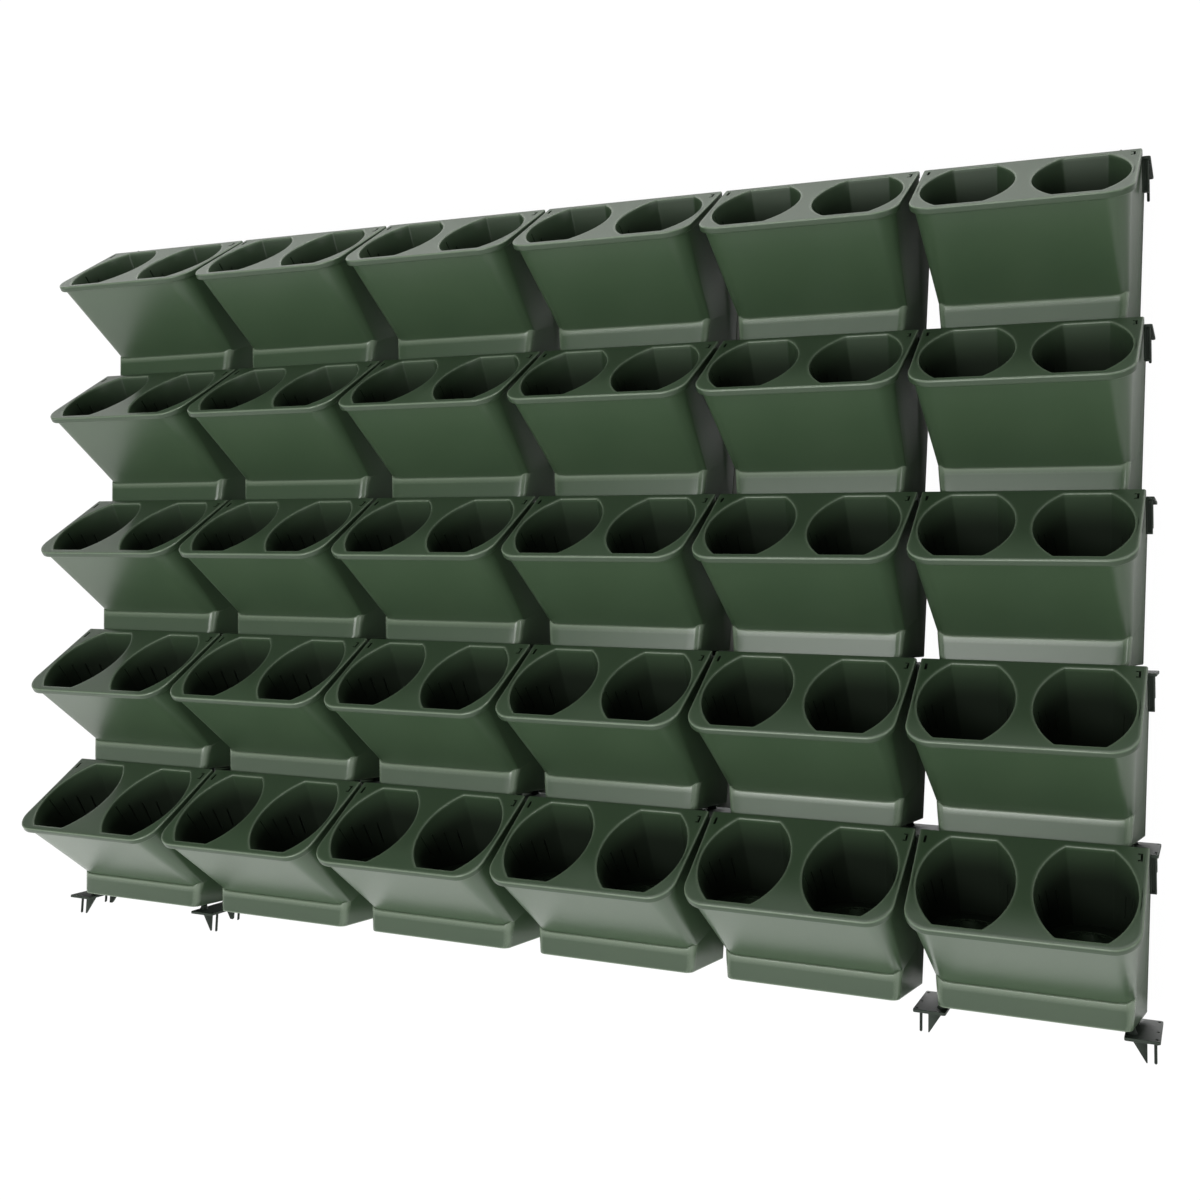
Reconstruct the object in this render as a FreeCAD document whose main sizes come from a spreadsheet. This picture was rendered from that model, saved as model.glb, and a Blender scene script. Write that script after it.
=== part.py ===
"""Vertical wall planter: a wall of two-pocket planter modules, stacked on loose clips.

Frame: X along the wall, Y into the wall, Z up. The origin is the centre of the floor area, at
the ends of the feet. Each moulding is drawn with its back in the plane Y = 0 and its base at
Z = 0, then set in its place. Millimetres and degrees.
"""
import FreeCAD, Part
import math
import os
import Sketcher

COLUMNS = 6
ROWS = 5
FOOTED_COLUMNS = (1, 6)
POCKET_FLAT_COUNT = 5
RIM_FLAT_COUNT = 4

SIZES = {
    "column_pitch": 300.0,
    "wall": 3.0,
    "skirt_height": 34.0,
    "skirt_gap": 0.6,
    "skirt_chamfer": 9.0,
    "ledge": 2.0,
    "body_base_half": 124.4,
    "crest_depth": 97.0,
    "crest_rise": 24.0,
    "crest_half": 147.0,
    "crest_wall": 3.0,
    "deck_height": 206.0,
    "deck_half": 144.0,
    "rim_angle": 35.98,
    "rim_length": 166.8,
    "rim_front_half": 143.0,
    "rim_radius": 36.0,
    "lip_height": 9.5,
    "lip_overhang": 6.0,
    "lip_overlap": 1.0,
    "pocket_centre": 74.0,
    "pocket_half": 62.5,
    "pocket_bow": 100.0,
    "pocket_margin": 6.0,
    "pocket_length": 148.0,
    "pocket_draft": 8.7,
    "floor_height": 116.0,
    "floor_reach": 91.0,
    "hollow_gap": 4.0,
    "hollow_chamfer": 16.0,
    "front_chamfer": 14.0,
    "second_chamfer": 5.2,
    "slot_half": 6.0,
    "slot_height": 5.5,
    "slot_x": 100.0,
    "slot_drop": 28.0,
    "clip_thick": 4.0,
    "clip_gap": 2.0,
    "clip_back": 2.0,
    "clip_margin": 8.5,
    "clip_outer": 7.0,
    "clip_corner": 3.0,
    "boss_front": 70.0,
    "boss_back": 18.0,
    "boss_seat": 2.9,
    "boss_height": 18.0,
    "boss_half": 5.0,
    "peg_step": 3.5,
    "peg_half": 1.8,
    "peg_length": 12.0,
    "leg_half": 4.4,
    "leg_inset": 2.0,
    "leg_thick": 5.0,
    "leg_length": 34.0,
    "leg_rib": 2.0,
    "leg_channel": 2.0,
    "post_half": 2.0,
    "post_back": 6.0,
    "post_length": 22.0,
    "foot_length": 19.0,
    "fin_outer": 10.0,
    "fin_margin": 7.0,
    "fin_thick": 3.0,
}
# Sizes that follow from those above.
DERIVED = {
    "crest_height": "=deck_height + crest_rise",
    "row_pitch": "=deck_height + clip_thick + boss_height",
    "side_lean": "=(deck_half - body_base_half) / deck_height",
    "skirt_front": "=crest_depth - crest_wall - skirt_gap",
    "floor_front": "=crest_depth + floor_reach",
    "floor_back": "=crest_depth + pocket_margin * cos(rim_angle * 1 deg)"
                  " - (crest_height - pocket_margin * sin(rim_angle * 1 deg) - floor_height)"
                  " * tan((rim_angle - pocket_draft) * 1 deg)",
    "hollow_front": "=floor_front + hollow_gap",
    "slot_z": "=deck_height - slot_drop",
    "boss_inset": "=column_pitch / 2 - body_base_half + boss_seat",
    "peg_inset": "=boss_inset + peg_step",
    "clip_reach": "=boss_inset + clip_margin",
    "fin_width": "=clip_reach - fin_outer - fin_margin",
    "clip_front": "=crest_depth - crest_wall - clip_gap",
    "leg_front": "=clip_front - leg_inset",
}

doc = FreeCAD.newDocument("wall_planter")
dims = doc.addObject("Spreadsheet::Sheet", "dims")
for row, (word, amount) in enumerate({**SIZES, **DERIVED}.items(), start=1):
    dims.set(f"A{row}", word)
    dims.set(f"B{row}", f"{amount}")
    dims.setAlias(f"B{row}", word)
doc.recompute()


def size(text):
    """Number that an expression on the sheet stands for."""
    return float(dims.evalExpression(text))


def plane(body, role):
    """One of the three origin planes of a body."""
    return next(item for item in body.Origin.OriginFeatures if item.Role == role)


def sketch(body, name, role="XY_Plane", lift=None, slope=None):
    """New sketch on an origin plane, lifted along the wall normal and up, then sloped."""
    made = body.newObject("Sketcher::SketchObject", name)
    made.AttachmentSupport = [(plane(body, role), "")]
    made.MapMode = "FlatFace"
    if slope:
        made.AttachmentOffset = FreeCAD.Placement(
            FreeCAD.Vector(0, 0, 0), FreeCAD.Rotation(FreeCAD.Vector(1, 0, 0), size(slope)))
        made.setExpression("AttachmentOffset.Rotation.Angle", slope)
    for axis, text in (lift or {}).items():
        made.setExpression(f"AttachmentOffset.Base.{axis}", text)
    return made


def fix_point(made, geometry, position, across, along):
    """Tie one sketch point to the sheet, measured from the sketch origin."""
    for kind, text in (("DistanceX", across), ("DistanceY", along)):
        index = made.addConstraint(
            Sketcher.Constraint(kind, -1, 1, geometry, position, size(text)))
        made.setExpression(f"Constraints[{index}]", text)


def point(across, along):
    """Sketch position of two expressions."""
    return FreeCAD.Vector(size(across), size(along), 0)


def polygon(made, corners):
    """Closed outline of straight edges through corners given as pairs of expressions."""
    places = [point(*corner) for corner in corners]
    edges = []
    for start, end in zip(places, places[1:] + places[:1]):
        edges.append(made.addGeometry(Part.LineSegment(start, end)))
    for this, following in zip(edges, edges[1:] + edges[:1]):
        made.addConstraint(Sketcher.Constraint("Coincident", this, 2, following, 1))
    for edge, corner in zip(edges, corners):
        fix_point(made, edge, 1, *corner)


def rectangle(made, low_x, low_y, high_x, high_y):
    """Closed rectangle between two corners."""
    polygon(made, [(low_x, low_y), (high_x, low_y), (high_x, high_y), (low_x, high_y)])


def arc_flats(centre_x, centre_y, radius, first, last, count):
    """Points along an arc that short flats stand for; the two angles are expressions."""
    places = []
    for step in range(count + 1):
        share = step / count
        turn = f"(({first}) * {1 - share} + ({last}) * {share})"
        places.append((f"{centre_x} + {radius} * cos({turn})",
                       f"{centre_y} + {radius} * sin({turn})"))
    return places


def other_side(places):
    """The same places across the middle plane, in the opposite order."""
    return [(f"-({across})", along) for across, along in reversed(places)]


def rounded_outline(made, back_half, front, front_half, radius, count):
    """Outline of a module seen from above: straight back and sides, two turned front corners."""
    turn = arc_flats(f"{front_half} - {radius}", f"{front} + {radius}", radius,
                     "-90 deg", "0 deg", count)
    right = [*turn, (back_half, "0 * dims.wall")]
    polygon(made, right + other_side(right))


def swept(body, kind, name, made, length, both_ways=False, backward=False):
    """Pad or pocket of one sketch, its length tied to the sheet."""
    feature = body.newObject(f"PartDesign::{kind}", name)
    feature.Profile = made
    feature.Midplane = both_ways
    feature.Reversed = backward
    feature.setExpression("Length", length)
    return feature


def mirrored(body, name, feature):
    """Repeat a feature on the other side of the body's middle plane."""
    twin = body.newObject("PartDesign::Mirrored", name)
    twin.Originals = [feature]
    twin.MirrorPlane = (plane(body, "YZ_Plane"), [""])
    body.Tip = twin
    return twin


def clone(name, source, across, out="0 * dims.wall", up="0 * dims.wall"):
    """Another piece of the same mould, placed along the wall, out from it and up it."""
    body = doc.addObject("PartDesign::Body", name)
    body.Label = name
    copy = doc.addObject("PartDesign::FeatureBase", f"{name}_shape")
    body.Group = [copy]
    body.Tip = copy
    copy.BaseFeature = source
    body.setExpression("Placement.Base.x", across)
    body.setExpression("Placement.Base.y", out)
    body.setExpression("Placement.Base.z", up)
    return body


def drafted_block(name, corners, base_half):
    """Side section of a module drawn across its width, with both sides leaning out upward."""
    body = doc.addObject("PartDesign::Body", name)
    section = sketch(body, f"{name}_section", role="YZ_Plane")
    polygon(section, corners)
    swept(body, "Pad", f"{name}_block", section, "1.2 * dims.column_pitch", both_ways=True)
    low = "-dims.wall"
    high = "1.5 * dims.row_pitch"
    lean = "dims.side_lean"
    side = sketch(body, f"{name}_side", role="XZ_Plane")
    polygon(side, [(f"{base_half} + {low} * {lean}", low), ("dims.column_pitch", low),
                   ("dims.column_pitch", high), (f"{base_half} + {high} * {lean}", high)])
    trim = swept(body, "Pocket", f"{name}_draft", side, "4 * dims.column_pitch", both_ways=True)
    mirrored(body, f"{name}_other_draft", trim)
    return body


def front_edges(shape, lowest):
    """Names of the edges that climb the front corners of a block, above a lowest height."""
    names = []
    for number, edge in enumerate(shape.Edges, start=1):
        first, last = (vertex.Point for vertex in edge.Vertexes)
        rises = abs(first.z - last.z) > size("dims.skirt_height") - 1
        at_side = min(abs(first.x), abs(last.x)) > size("dims.pocket_centre")
        in_front = max(first.y, last.y) < -size("0.8 * dims.skirt_front")
        below_rim = max(first.z, last.z) < size("dims.deck_height - dims.wall - 1")
        if rises and at_side and in_front and below_rim and min(first.z, last.z) > lowest - 1:
            names.append(f"Edge{number}")
    return names


def bevel(body, name, lowest, amount):
    """Take the front corners of a block off by one flat each."""
    doc.recompute()
    last = body.Tip
    cut = body.newObject("PartDesign::Chamfer", name)
    cut.Base = (last, front_edges(last.Shape, lowest))
    cut.setExpression("Size", amount)
    body.Tip = cut


SINE = "sin(dims.rim_angle * 1 deg)"
COSINE = "cos(dims.rim_angle * 1 deg)"


def rim_place(along, below="0 * dims.wall"):
    """Side-view place of a point down the rim slope from the crest and below the rim plane."""
    return (f"-dims.crest_depth - ({along}) * {COSINE} + ({below}) * {SINE}",
            f"dims.crest_height - ({along}) * {SINE} - ({below}) * {COSINE}")


def well_former():
    """Space of one pocket: a barrel that tapers inward, cut by the floor and the front wall."""
    body = doc.addObject("PartDesign::Body", "well_former")
    along = "dims.pocket_margin + dims.pocket_length / 2"
    middle_y, middle_z = rim_place(along)
    mouth = sketch(body, "pocket_mouth", slope="dims.rim_angle",
                   lift={"y": middle_y, "z": middle_z})
    reach = "asin(dims.pocket_length / (2 * dims.pocket_bow))"
    right = arc_flats("dims.pocket_half - dims.pocket_bow", "0 * dims.wall", "dims.pocket_bow",
                      f"-{reach}", reach, POCKET_FLAT_COUNT)
    polygon(mouth, right + other_side(right))
    sides = swept(body, "Pad", "pocket_sides", mouth,
                  "1.12 * (dims.crest_height - dims.floor_height)", backward=True)
    doc.recompute()
    upright = mouth.Placement.Rotation.multVec(FreeCAD.Vector(0, 0, 1))
    names = {"side": [], "mouth": []}
    for number, face in enumerate(sides.Shape.Faces, start=1):
        lean = face.normalAt(0, 0).dot(upright)
        if abs(lean) < 0.5:
            names["side"].append(f"Face{number}")
        elif lean > 0:
            names["mouth"].append(f"Face{number}")
    taper = body.newObject("PartDesign::Draft", "pocket_taper")
    taper.Base = (sides, names["side"])
    taper.NeutralPlane = (sides, names["mouth"])
    taper.setExpression("Angle", "dims.pocket_draft")
    doc.recompute()
    if taper.Shape.Volume > sides.Shape.Volume:
        taper.Reversed = True
    span = "dims.pocket_margin + dims.pocket_length"
    lip_y, lip_z = rim_place(span)
    low = "-dims.row_pitch"
    floor = sketch(body, "floor_section", role="YZ_Plane")
    polygon(floor, [(lip_y, lip_z), ("-dims.floor_front", "dims.floor_height"),
                    ("dims.row_pitch", "dims.floor_height"), ("dims.row_pitch", low),
                    (f"2 * ({lip_y})", low), (f"2 * ({lip_y})", lip_z)])
    swept(body, "Pocket", "floor_trim", floor, "4 * dims.pocket_half", both_ways=True)
    return body


def hollow_former():
    """Space under the floor and behind the wells, open at the base."""
    under = "dims.floor_height - dims.wall"
    foot = "-dims.skirt_front + dims.wall"
    corners = [("-dims.wall", "-dims.wall"),
               ("-dims.wall", "dims.deck_height - dims.wall"),
               ("-dims.crest_depth + 4 * dims.wall", "dims.deck_height - dims.wall"),
               ("-dims.floor_back + dims.wall + 1", under),
               ("-dims.hollow_front", under),
               (foot, "dims.skirt_height + 0.5 * dims.wall"),
               (foot, "-dims.wall")]
    body = drafted_block("hollow_former", corners, "(dims.body_base_half - 1.2 * dims.wall)")
    bevel(body, "hollow_bevel", size("-dims.wall"), "dims.hollow_chamfer")
    return body


def skirt_block():
    """Upright band that the module stands on, with the sides of the body and flat-cut corners."""
    front = "-dims.skirt_front"
    low = "0 * dims.wall"
    body = drafted_block("skirt", [(low, low), (low, "dims.skirt_height"),
                                   (front, "dims.skirt_height"), (front, low)],
                         "dims.body_base_half")
    bevel(body, "skirt_bevel", 0, "dims.skirt_chamfer")
    return body


def planter_module(skirt, wells, hollow):
    """Two-pocket planter: skirt, sloped front, overhanging rim, deck, wells and hollow base."""
    drop = "dims.lip_height - dims.lip_overlap"
    back_y = "-dims.crest_depth + dims.crest_wall"
    crest_z = f"dims.crest_height - ({drop}) / {COSINE} + dims.crest_wall * {SINE} / {COSINE}"
    corners = [("0 * dims.wall", "dims.skirt_height"),
               ("0 * dims.wall", "dims.deck_height"),
               (back_y, "dims.deck_height"),
               (back_y, crest_z),
               rim_place("dims.rim_length - dims.lip_overhang", drop),
               ("-dims.skirt_front + dims.ledge", "dims.skirt_height")]
    body = drafted_block("module", corners, "dims.body_base_half")
    bevel(body, "front_bevel", size("dims.skirt_height"), "dims.front_chamfer")
    bevel(body, "second_bevel", size("dims.skirt_height"), "dims.second_chamfer")

    base = body.newObject("PartDesign::Boolean", "skirt_below")
    base.Type = "Fuse"
    base.Group = [skirt]
    rim = sketch(body, "rim_outline", slope="dims.rim_angle",
                 lift={"y": "-dims.crest_depth", "z": "dims.crest_height"})
    rounded_outline(rim, "dims.crest_half", "-dims.rim_length", "dims.rim_front_half",
                    "dims.rim_radius", RIM_FLAT_COUNT)
    swept(body, "Pad", "rim", rim, "dims.lip_height", backward=True)
    seat = sketch(body, "deck_outline", lift={"z": "dims.deck_height"})
    rectangle(seat, "-dims.column_pitch", back_y, "dims.column_pitch", "dims.wall")
    swept(body, "Pocket", "deck", seat, "dims.row_pitch", backward=True)

    spaces = body.newObject("PartDesign::Boolean", "wells_and_hollow")
    spaces.Type = "Cut"
    spaces.Group = [*wells, hollow]
    slots = sketch(body, "hanging_slots", role="XZ_Plane")
    for sign in ("", "-"):
        rectangle(slots, f"{sign}dims.slot_x - dims.slot_half", "dims.slot_z",
                  f"{sign}dims.slot_x + dims.slot_half", "dims.slot_z + dims.slot_height")
    swept(body, "Pocket", "wall_slots", slots, "4 * dims.wall", both_ways=True)
    body.Tip = body.Group[-1]
    return body


def clip_plate(name, sides):
    """Flat plate between two rows, with bosses and pegs under the skirts that stand on it."""
    body = doc.addObject("PartDesign::Body", name)
    low_x = "-dims.clip_reach"
    high_x = "dims.clip_reach" if len(sides) == 2 else "dims.clip_outer"
    front = "-dims.clip_front"
    back = "-dims.clip_back"
    cut = "dims.clip_corner"
    plate = sketch(body, f"{name}_plate")
    if len(sides) == 2:
        rectangle(plate, low_x, front, high_x, back)
    else:
        polygon(plate, [(low_x, front), (f"{high_x} - {cut}", front), (high_x, f"{front} + {cut}"),
                        (high_x, f"{back} - {cut}"), (f"{high_x} - {cut}", back), (low_x, back)])
    swept(body, "Pad", f"{name}_pad", plate, "dims.clip_thick")
    for kind, base, height, places in (
            ("boss", "dims.clip_thick", "dims.boss_height", ("front", "back")),
            ("peg", "dims.clip_thick + dims.boss_height", "dims.peg_length", ("front",))):
        stems = sketch(body, f"{name}_{kind}s", lift={"z": base})
        half = f"dims.{kind}_half"
        for sign in sides:
            for depth in (f"-dims.boss_{place}" for place in places):
                across = f"{sign}dims.{kind}_inset"
                rectangle(stems, f"{across} - {half}", f"{depth} - {half}",
                          f"{across} + {half}", f"{depth} + {half}")
        swept(body, "Pad", f"{name}_{kind}_pad", stems, height)
    return body


def hang_legs(body, name, ribbed):
    """Wide leg and thin post that drop between the sides of two neighbouring modules."""
    low = "-dims.leg_front"
    high = "-dims.leg_front + dims.leg_thick"
    leg = sketch(body, f"{name}_leg_section")
    rectangle(leg, "-dims.leg_half", low, "dims.leg_half", high)
    swept(body, "Pad", f"{name}_leg", leg, "dims.leg_length", backward=True)
    if ribbed:
        leg_channel(body, name)
    post = sketch(body, f"{name}_post_section")
    rectangle(post, "-dims.post_half", "-dims.post_back - 2 * dims.post_half",
              "dims.post_half", "-dims.post_back")
    swept(body, "Pad", f"{name}_post", post, "dims.post_length", backward=True)


def leg_channel(body, name):
    """Hollow down the front of a leg, which leaves two ribs joined at the bottom."""
    channel = sketch(body, f"{name}_channel_section", role="XZ_Plane",
                     lift={"z": "dims.leg_front"})
    rectangle(channel, "-dims.leg_half + dims.leg_rib", "-dims.leg_length + dims.leg_rib",
              "dims.leg_half - dims.leg_rib", "-dims.leg_rib")
    swept(body, "Pocket", f"{name}_channel", channel, "dims.leg_channel")


def joining_clip():
    """Clip that bridges two neighbouring columns."""
    body = clip_plate("joining_clip", ("", "-"))
    hang_legs(body, "joining", ribbed=False)
    return body


def end_clip():
    """Clip at the right end of a row."""
    body = clip_plate("end_clip", ("-",))
    hang_legs(body, "end", ribbed=True)
    return body


def foot():
    """Foot under the right end of a bottom module: two fins inside, two posts outside."""
    body = clip_plate("foot", ("-",))
    ends = (("front", "-dims.boss_front"), ("back", "-dims.boss_back"))
    for end, depth in ends:
        fin = sketch(body, f"{end}_fin_section", role="XZ_Plane",
                     lift={"z": f"-({depth})"})
        polygon(fin, [("-dims.fin_outer - dims.fin_width", "0.5 * dims.clip_thick"),
                      ("-dims.fin_outer - dims.fin_width", "-0.5 * dims.clip_thick"),
                      ("-dims.fin_outer - 0.5 * dims.clip_thick", "-dims.foot_length"),
                      ("-dims.fin_outer", "-dims.foot_length"),
                      ("-dims.fin_outer", "0.5 * dims.clip_thick")])
        swept(body, "Pad", f"{end}_fin", fin, "dims.fin_thick", both_ways=True)
    posts = sketch(body, "post_sections")
    for end, depth in ends:
        rectangle(posts, "-dims.post_half", f"{depth} - dims.post_half",
                  "dims.post_half", f"{depth} + dims.post_half")
    swept(body, "Pad", "posts", posts, "dims.foot_length", backward=True)
    return body


def left_handed(source):
    """The same moulding for a left end."""
    twin = doc.addObject("Part::Mirroring", f"left_{source.Name}")
    twin.Source = source
    twin.Normal = FreeCAD.Vector(1, 0, 0)
    return twin


former = well_former()
wells = [clone("right_well", former, "dims.pocket_centre"),
         clone("left_well", former, "-dims.pocket_centre")]
module = planter_module(skirt_block(), wells, hollow_former())
joining = joining_clip()
right_end = end_clip()
left_end = left_handed(right_end)
right_foot = foot()
left_foot = left_handed(right_foot)
doc.recompute()

OUT = f"(dims.crest_depth + dims.rim_length * {COSINE}) / 2"
BASE = "(dims.foot_length + dims.clip_thick + dims.boss_height)"
pieces = []
for line in range(1, ROWS + 1):
    base = f"{BASE} + dims.row_pitch * {ROWS - line}"
    for column in range(1, COLUMNS + 1):
        across = f"dims.column_pitch * {column - (COLUMNS + 1) / 2}"
        pieces.append(clone(f"planter_r{line}_c{column}", module, across, OUT, base))

ends = [clone("left_end", left_end, f"dims.column_pitch * {-COLUMNS / 2}"),
        clone("right_end", right_end, f"dims.column_pitch * {COLUMNS / 2}")]
seams = [clone(f"seam_{seam}", joining, f"dims.column_pitch * {seam - COLUMNS / 2}")
         for seam in range(1, COLUMNS)]
for line in range(1, ROWS + 1):
    group = doc.addObject("Part::Compound", f"clips_r{line}")
    group.Links = ends if line == 1 else ends + seams
    group.setExpression("Placement.Base.y", OUT)
    group.setExpression("Placement.Base.z",
                        f"{BASE} + dims.deck_height + dims.row_pitch * {ROWS - line}")
    pieces.append(group)

for column in FOOTED_COLUMNS:
    for side, shape, edge in (("left", left_foot, column - 1), ("right", right_foot, column)):
        across = f"dims.column_pitch * {edge - COLUMNS / 2}"
        pieces.append(clone(f"foot_c{column}_{side}", shape, across, OUT, "dims.foot_length"))

doc.recompute()
for item in doc.Objects:
    if {"Invalid", "Error"} & set(item.State):
        raise RuntimeError(f"{item.Label} did not build: {item.State}")
os.makedirs("parts", exist_ok=True)
for piece in pieces:
    if piece.Shape.isNull() or not piece.Shape.isValid():
        raise RuntimeError(f"{piece.Label} has no sound shape")
    piece.Shape.exportStep(f"parts/{piece.Label}.step")
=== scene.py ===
"""Dresses the wall of double planters: moulded modules, clips and feet, with studio light and camera."""

import logging
import math
from dataclasses import dataclass
from enum import Enum
from typing import Callable

import bmesh
import bpy
import numpy as np
from bpy.types import ID, Material, Mesh, Node, NodeSocket, NodeTree, Object, World
from mathutils import Matrix, Vector
from mathutils.geometry import tessellate_polygon
from numpy import ndarray


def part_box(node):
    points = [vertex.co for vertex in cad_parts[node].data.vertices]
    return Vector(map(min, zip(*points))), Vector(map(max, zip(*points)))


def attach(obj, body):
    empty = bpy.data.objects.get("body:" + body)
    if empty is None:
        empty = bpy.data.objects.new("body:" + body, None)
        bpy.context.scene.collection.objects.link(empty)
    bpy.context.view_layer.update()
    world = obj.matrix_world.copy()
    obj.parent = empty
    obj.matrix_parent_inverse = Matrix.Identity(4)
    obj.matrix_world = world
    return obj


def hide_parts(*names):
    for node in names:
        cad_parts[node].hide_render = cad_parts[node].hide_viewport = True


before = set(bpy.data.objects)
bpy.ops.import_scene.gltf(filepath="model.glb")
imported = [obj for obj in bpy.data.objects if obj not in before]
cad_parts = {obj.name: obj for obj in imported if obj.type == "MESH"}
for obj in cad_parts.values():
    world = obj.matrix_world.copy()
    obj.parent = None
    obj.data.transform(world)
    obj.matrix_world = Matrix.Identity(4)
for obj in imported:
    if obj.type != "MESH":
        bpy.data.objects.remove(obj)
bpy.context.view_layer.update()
LOG = logging.getLogger("wall_planter")

Pair = tuple[float, float]
Spot = tuple[float, float, float]

MM = 0.001
COLUMNS = 6
ROWS = 5
COLUMN_PITCH = 300.0
ROW_PITCH = 228.0
# Points on a side, on a side of the base, round a corner, on half a front, up a ledge, round a rim.
SIDE_STEPS = 7
BASE_STEPS = SIDE_STEPS + 2
TURN_STEPS = 13
FRONT_STEPS = 11
LEDGE_STEPS = 7
RIM_STEPS = 4
# Points round a loop while its corners are eased.
LOOP_STEPS = 720
# Plan outlines count depth forwards from the wall, against the frame's Y.
FORWARD = (1, -1)
# Points closer than the first are welded, and edges shorter than the second dropped, in metres.
WELD = 2e-6
SLIVER = 1e-7
# Painted highlight on rounded edges up to 1, or painted shade down to -1, row by row:
# lip from the body to the rim, foot, mouth inwards.
LIP_PAINTED_LIGHT = np.array([0, 0, 0.1, 0, -0.3, -0.3, 0.3, 1, 1, 0.8, 0.2, 0])
FOOT_PAINTED_LIGHT = np.array([0, 0.6, 1, 1, 0.6, 0])
MOUTH_PAINTED_LIGHT = np.array([0, 0.3, 0.7, 0.7, 0.7, 0.7, 0.2])
# The wall plane and the base of the bottom row, read from a bottom module of the frame, in millimetres.
WALL_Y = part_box("planter_r5_c1")[1][1] / MM
BASE_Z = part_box("planter_r5_c1")[0][2] / MM


class Side(Enum):
    """Which end of a module a clip or foot serves."""

    LEFT = -1
    RIGHT = 1


class Shell:
    """Gathers grids and filled outlines, in millimetres, and welds them into one closed mesh."""

    def __init__(self) -> None:
        """Starts with no surface."""
        self.points: list[ndarray] = []
        self.faces: list[list[int]] = []
        self.painted_lights: list[ndarray] = []
        self.count = 0

    def add(self, points: ndarray, faces: list[list[int]], painted_light: ndarray | float = 0.0) -> None:
        """Adds points and the faces between them.

        Args:
            points: Places, one row each.
            faces: Indices into those rows.
            painted_light: Painted highlight on a rounded edge at each point, up to 1, or painted shade, down
                to -1.
        """
        self.points.append(points)
        self.painted_lights.append(np.broadcast_to(np.asarray(painted_light, dtype=float), (len(points),)))
        self.faces.extend([i + self.count for i in face] for face in faces)
        self.count += len(points)

    def grid(self, surface: ndarray, closed: bool = False, painted_light: ndarray | float = 0.0) -> None:
        """Adds a grid of quads: neighbours in rows and columns are joined.

        Args:
            surface: Places as rows by columns by three.
            closed: Whether the last column joins the first.
            painted_light: Painted highlight on edges or painted shade in wells, for each row, each point, or
                one value.
        """
        rows, cols = surface.shape[:2]
        ids = np.arange(rows * cols).reshape(rows, cols)
        if closed:
            ids = np.concatenate([ids, ids[:, :1]], axis=1)
        quads = np.stack([ids[:-1, :-1], ids[:-1, 1:], ids[1:, 1:], ids[1:, :-1]], axis=-1).reshape(-1, 4)
        light_paint = np.asarray(painted_light, dtype=float)
        light_paint = np.broadcast_to(light_paint if light_paint.ndim == 2 else light_paint.reshape(-1, 1), (rows, cols))
        self.add(surface.reshape(-1, 3), quads.tolist(), light_paint.reshape(-1))

    def fill(self, *loops: ndarray, painted_light: float = 0.0) -> None:
        """Adds a flat face bounded by the first loop, with the other loops as holes in it."""
        flat = [[Vector(point) for point in loop] for loop in loops]
        self.add(np.concatenate(loops), [list(face) for face in tessellate_polygon(flat)], painted_light)

    def slab(self, outline: ndarray, low: float, high: float, edge: float = 0.6,
             holes: tuple[ndarray, ...] = (), light_paint: Pair = (0.7, 1.0)) -> None:
        """Adds a flat plate: an outline carried straight up, its rims rounded over, with holes through it.

        Args:
            outline: Closed anticlockwise outline.
            low: Height of the underside.
            high: Height of the top.
            edge: Radius of the rounded rims.
            holes: Closed outlines of holes.
            light_paint: Painted highlight of the lower and the upper rim.
        """
        normal = -outward(outline, closed=True)
        inset, rise = rounded_edge(edge, RIM_STEPS)
        insets = np.concatenate([inset, inset[::-1]])
        heights = np.concatenate([low + rise, high - rise[::-1]])
        wall = np.stack([at_height(outline - normal * i, h) for i, h in zip(insets, heights)])
        self.grid(wall, closed=True, painted_light=np.repeat(light_paint, RIM_STEPS))
        for face, height in ((wall[0], low), (wall[-1], high)):
            self.fill(face, *[at_height(hole, height) for hole in holes])
        for hole in holes:
            self.grid(np.stack([at_height(hole, low), at_height(hole, high)]), closed=True)

    def turned(self, profile: list[Pair], centre: Pair, count: int = 20) -> None:
        """Adds a turned solid: a profile carried round an upright axis, its flat ends closed by discs.

        Args:
            profile: Radius and height of each step, from the foot to the tip.
            centre: Place of the axis.
            count: Points round the axis.
        """
        rings = np.stack([at_height(ring(centre, radius, count), height) for radius, height in profile])
        self.grid(rings, closed=True)
        self.fill(rings[0])
        self.fill(rings[-1])

    def blind_slot(self, rows: ndarray, shade: float = 0.0) -> ndarray:
        """Adds a blind slot, with painted shade inside, from loops that run inwards; returns its first loop.
        """
        self.grid(rows, closed=True, painted_light=np.array([0.0] + [shade] * (len(rows) - 1)))
        self.fill(rows[-1], painted_light=shade)
        return rows[0]

    def mesh(self, name: str, crease: float = 32.0) -> Mesh:
        """Welds everything into a mesh in metres, with its faces outward and creases kept sharp.

        Args:
            name: Name of the mesh.
            crease: Angle in degrees past which an edge stays sharp.

        Returns:
            The welded mesh.
        """
        mesh = bpy.data.meshes.new(name)
        mesh.from_pydata((np.concatenate(self.points) * MM).tolist(), [], self.faces)
        # The finish attribute carries the painted light: painted highlight on edges up to 1, painted shade
        # down to -1.
        light_paint = mesh.attributes.new("finish", "FLOAT", "POINT")
        light_paint.data.foreach_set("value", np.concatenate(self.painted_lights).astype(np.float32))
        work = bmesh.new()
        work.from_mesh(mesh)
        bmesh.ops.remove_doubles(work, verts=work.verts, dist=WELD)
        bmesh.ops.dissolve_degenerate(work, edges=work.edges, dist=SLIVER)
        bmesh.ops.recalc_face_normals(work, faces=work.faces)
        work.to_mesh(mesh)
        work.free()
        mesh.shade_smooth()
        mesh.set_sharp_from_angle(angle=math.radians(crease))
        return mesh


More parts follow.
